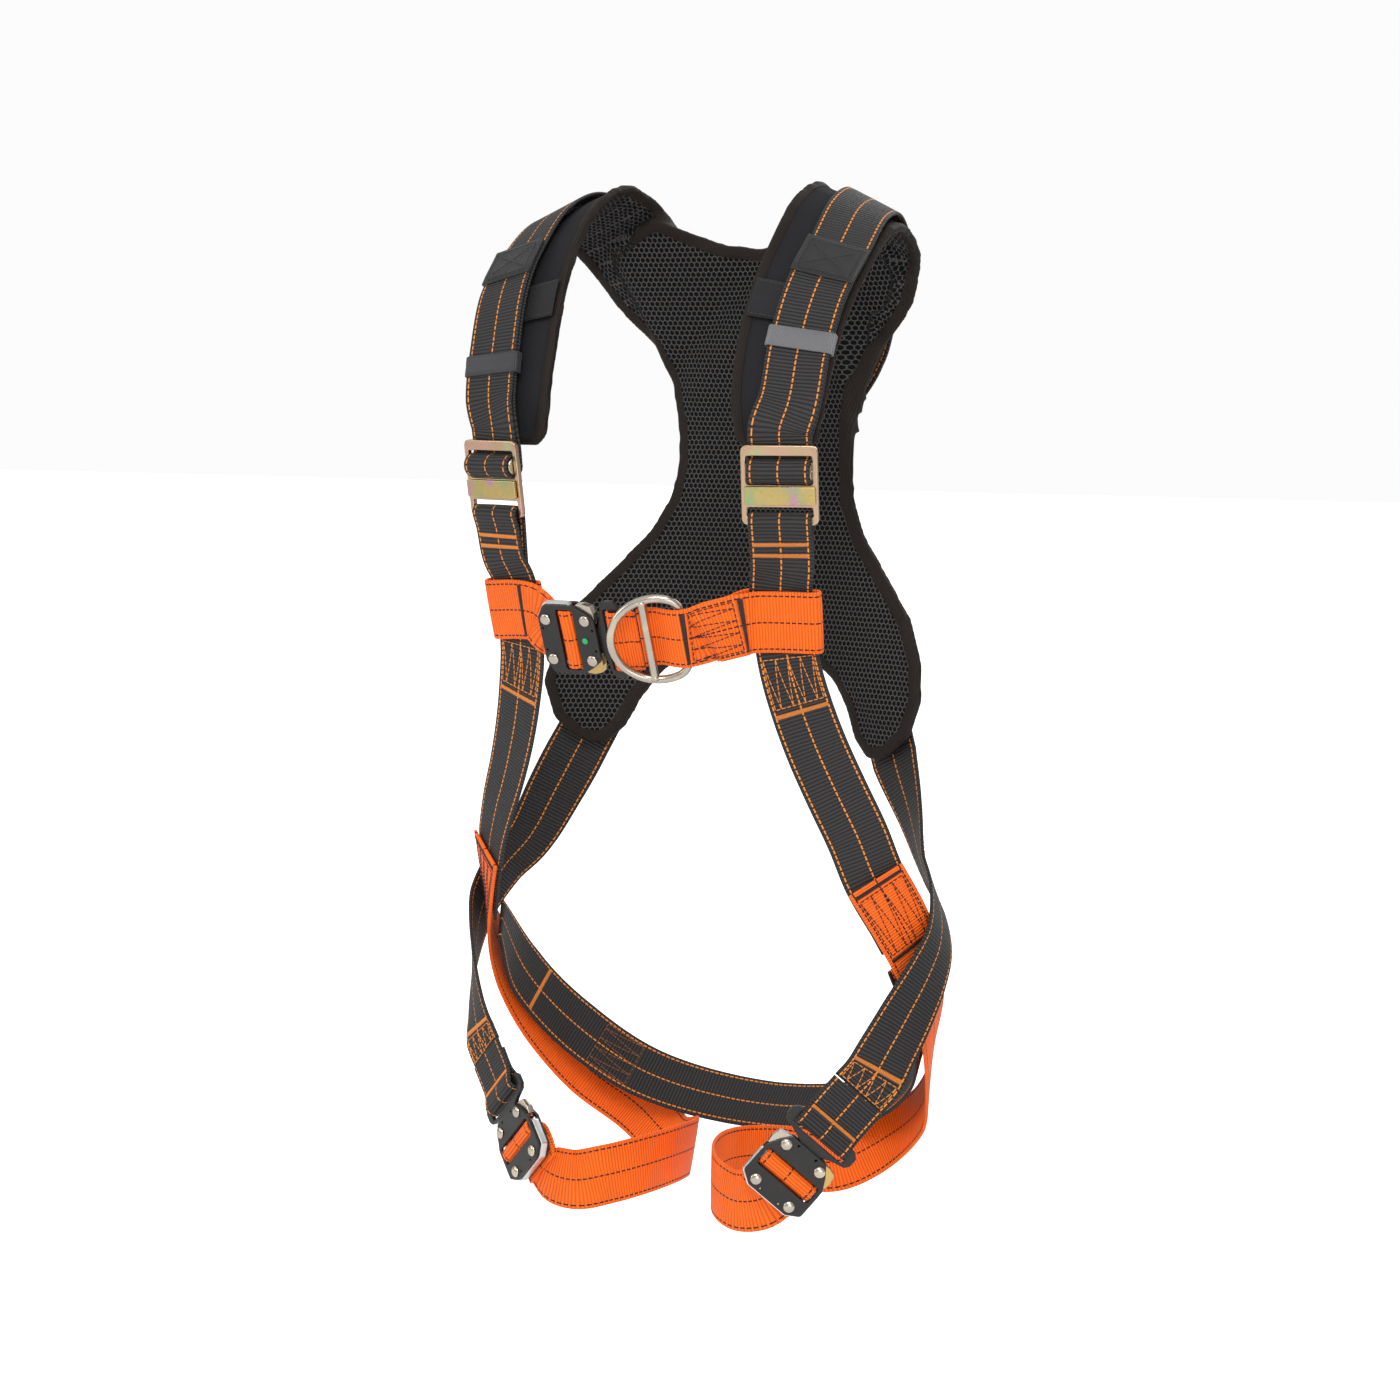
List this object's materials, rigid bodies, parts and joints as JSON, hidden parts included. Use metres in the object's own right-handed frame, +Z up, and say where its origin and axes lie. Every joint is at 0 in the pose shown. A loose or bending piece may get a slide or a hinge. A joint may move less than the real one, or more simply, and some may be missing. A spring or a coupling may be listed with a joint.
{
  "type": "full body fall-arrest harness",
  "caption": "Full-body work harness worn on the torso: padded back and shoulders, black and orange webbing, quick-release chest and leg buckles, sternal and dorsal rings.",
  "frame": {"origin": "middle of the wearer's torso at the height of the chest strap", "axes": "+Z up, +X towards the wearer's left, the wearer faces -Y"},
  "size_m": [0.3914, 0.2649, 0.7568],
  "materials": {
    "black_webbing": "ribbed woven webbing with orange tracer lines",
    "orange_webbing": "ribbed woven webbing with dark tracer lines",
    "pad_fabric": "smooth shell, hexagonal mesh lining and dark edge binding",
    "elastic": "sheen elastic",
    "zinc_plate": "yellow-pink passivated zinc",
    "slide_plate": "yellow-green passivated zinc",
    "bright_steel": "bright drawn steel",
    "black_plate": "dark satin coating",
    "brass_pawl": "satin",
    "green_plastic": "satin",
    "black_plastic": "satin"
  },
  "bodies": {
    "harness": {"back_pad": "pad_fabric", "seat_strap": "black_webbing", "chest_strap_left": "orange_webbing", "chest_strap_right": "orange_webbing", "chest_tongue_web": "orange_webbing", "chest_indicator": "green_plastic", "dorsal_plate": "black_plastic", "shoulder_strap_left": "black_webbing", "shoulder_strap_right": "black_webbing", "elastic_keeper_left": "elastic", "elastic_keeper_right": "elastic", "adjuster_frame_left": "zinc_plate", "adjuster_frame_right": "zinc_plate", "front_strap_left": "black_webbing", "front_strap_right": "black_webbing", "leg_strap_left": "orange_webbing", "leg_strap_right": "orange_webbing", "back_strap_left": "black_webbing", "back_strap_right": "black_webbing", "leg_tongue_web_left": "black_webbing", "leg_tongue_web_right": "black_webbing", "pad_band_left": "black_webbing", "pad_band_right": "black_webbing", "chest_front_plate": "black_plate", "chest_back_plate": "black_plate", "chest_core": "bright_steel", "chest_rivet_1": "bright_steel", "chest_rivet_2": "bright_steel", "chest_rivet_3": "bright_steel", "chest_rivet_4": "bright_steel", "leg_left_front_plate": "black_plate", "leg_left_back_plate": "black_plate", "leg_left_core": "bright_steel", "leg_left_rivet_1": "bright_steel", "leg_left_rivet_2": "bright_steel", "leg_left_rivet_3": "bright_steel", "leg_left_rivet_4": "bright_steel", "leg_right_front_plate": "black_plate", "leg_right_back_plate": "black_plate", "leg_right_core": "bright_steel", "leg_right_rivet_1": "bright_steel", "leg_right_rivet_2": "bright_steel", "leg_right_rivet_3": "bright_steel", "leg_right_rivet_4": "bright_steel"},
    "dorsal_ring": {"dorsal_ring": "bright_steel"},
    "chest_ring": {"chest_ring": "bright_steel"},
    "adjuster_pin_left": {"adjuster_pin_left": "bright_steel"},
    "adjuster_pin_right": {"adjuster_pin_right": "bright_steel"},
    "adjuster_slide_left": {"adjuster_slide_left": "slide_plate"},
    "adjuster_slide_right": {"adjuster_slide_right": "slide_plate"},
    "chest_pawl_upper": {"chest_pawl_upper": "bright_steel"},
    "chest_pawl_lower": {"chest_pawl_lower": "brass_pawl"},
    "chest_tongue": {"chest_tongue": "black_plate"},
    "leg_left_pawl_upper": {"leg_left_pawl_upper": "bright_steel"},
    "leg_left_pawl_lower": {"leg_left_pawl_lower": "brass_pawl"},
    "leg_left_tongue": {"leg_left_tongue": "black_plate"},
    "leg_right_pawl_upper": {"leg_right_pawl_upper": "bright_steel"},
    "leg_right_pawl_lower": {"leg_right_pawl_lower": "brass_pawl"},
    "leg_right_tongue": {"leg_right_tongue": "black_plate"}
  },
  "joints": [
    {"name": "dorsal_ring_swing", "type": "hinge", "parent": "harness", "child": "dorsal_ring", "pos_m": [0, 0.13356, 0.09745], "axis": [1, 0, 0], "range_deg": [-8, 150]},
    {"name": "chest_ring_tilt", "type": "hinge", "parent": "harness", "child": "chest_ring", "pos_m": [0.016, -0.108, -0.019], "axis": [0.0106, -0.366, 0.9305], "range_deg": [-1, 8]},
    {"name": "adjuster_pin_turn_left", "type": "hinge", "parent": "harness", "child": "adjuster_pin_left", "pos_m": [0.11536, -0.10027, 0.10141], "axis": [-0.9613, -0.2756, 0], "continuous": true},
    {"name": "adjuster_slide_travel_left", "type": "slide", "parent": "harness", "child": "adjuster_slide_left", "axis": [0.0384, -0.1338, 0.9903], "range_m": [-0.0015, 0]},
    {"name": "adjuster_pin_turn_right", "type": "hinge", "parent": "harness", "child": "adjuster_pin_right", "pos_m": [-0.11536, -0.10027, 0.10141], "axis": [-0.9613, 0.2756, 0], "continuous": true},
    {"name": "adjuster_slide_travel_right", "type": "slide", "parent": "harness", "child": "adjuster_slide_right", "axis": [-0.0384, -0.1338, 0.9903], "range_m": [-0.0015, 0]},
    {"name": "chest_pawl_upper_press", "type": "hinge", "parent": "harness", "child": "chest_pawl_upper", "pos_m": [-0.0338, -0.10616, -0.00543], "axis": [-0.0492, -0.9384, -0.342], "range_deg": [0, 7], "stiffness_Nm_per_rad": 0.06},
    {"name": "chest_pawl_lower_press", "type": "hinge", "parent": "harness", "child": "chest_pawl_lower", "pos_m": [-0.03324, -0.09557, -0.03456], "axis": [0.0492, 0.9384, 0.342], "range_deg": [0, 7], "stiffness_Nm_per_rad": 0.06},
    {"name": "chest_tongue_travel", "type": "slide", "parent": "harness", "child": "chest_tongue", "axis": [0.9986, -0.0523, 0], "range_m": [0, 0.012], "deforming": ["chest_tongue_web"]},
    {"name": "leg_left_pawl_upper_press", "type": "hinge", "parent": "harness", "child": "leg_left_pawl_upper", "pos_m": [0.10923, -0.07441, -0.37638], "axis": [0.4695, -0.8829, 0], "range_deg": [0, 7], "stiffness_Nm_per_rad": 0.06},
    {"name": "leg_left_pawl_lower_press", "type": "hinge", "parent": "harness", "child": "leg_left_pawl_lower", "pos_m": [0.12989, -0.06343, -0.39672], "axis": [-0.4695, 0.8829, 0], "range_deg": [0, 7], "stiffness_Nm_per_rad": 0.06},
    {"name": "leg_left_tongue_travel", "type": "slide", "parent": "harness", "child": "leg_left_tongue", "axis": [0.5793, 0.308, 0.7547], "range_m": [0, 0.025], "deforming": ["leg_tongue_web_left"]},
    {"name": "leg_right_pawl_upper_press", "type": "hinge", "parent": "harness", "child": "leg_right_pawl_upper", "pos_m": [-0.10923, -0.07441, -0.37638], "axis": [0.4695, 0.8829, 0], "range_deg": [0, 7], "stiffness_Nm_per_rad": 0.06},
    {"name": "leg_right_pawl_lower_press", "type": "hinge", "parent": "harness", "child": "leg_right_pawl_lower", "pos_m": [-0.12989, -0.06343, -0.39672], "axis": [-0.4695, -0.8829, 0], "range_deg": [0, 7], "stiffness_Nm_per_rad": 0.06},
    {"name": "leg_right_tongue_travel", "type": "slide", "parent": "harness", "child": "leg_right_tongue", "axis": [-0.5793, 0.308, 0.7547], "range_m": [0, 0.025], "deforming": ["leg_tongue_web_right"]}
  ]
}
